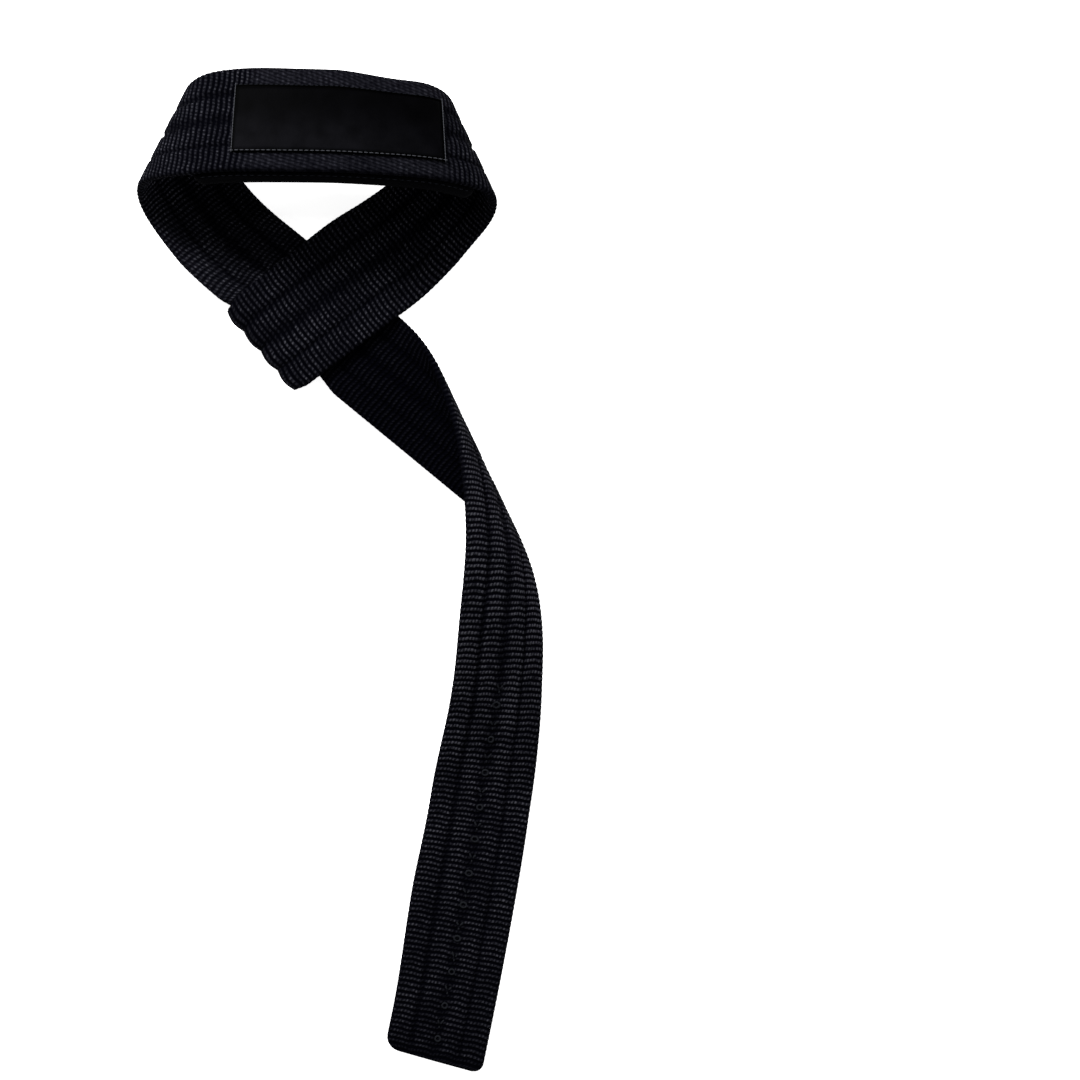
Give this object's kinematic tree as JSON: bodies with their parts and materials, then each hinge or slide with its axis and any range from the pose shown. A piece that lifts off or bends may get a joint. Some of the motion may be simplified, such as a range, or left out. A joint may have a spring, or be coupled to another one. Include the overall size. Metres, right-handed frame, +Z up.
{
  "type": "weightlifting strap",
  "caption": "Ribbed cotton lifting strap: a padded wrist loop held by a sewn sleeve end, and a long flat tail that comes out of the sleeve and rolls over.",
  "frame": {"origin": "middle of the part's box, on the surface that it lies on", "axes": "+Z up, +Y from the end of the tail to the wrist loop, +X to the right seen from above"},
  "size_m": [0.1536, 0.3742, 0.048],
  "materials": {
    "webbing": "matte ribbed cotton webbing, near black",
    "pad": "matte foam with a fine knitted skin",
    "label": "black satin with a soft sheen"
  },
  "bodies": {
    "root": {"strap": "webbing", "wrist_pad": "pad", "label_patch": "label"}
  },
  "joints": []
}
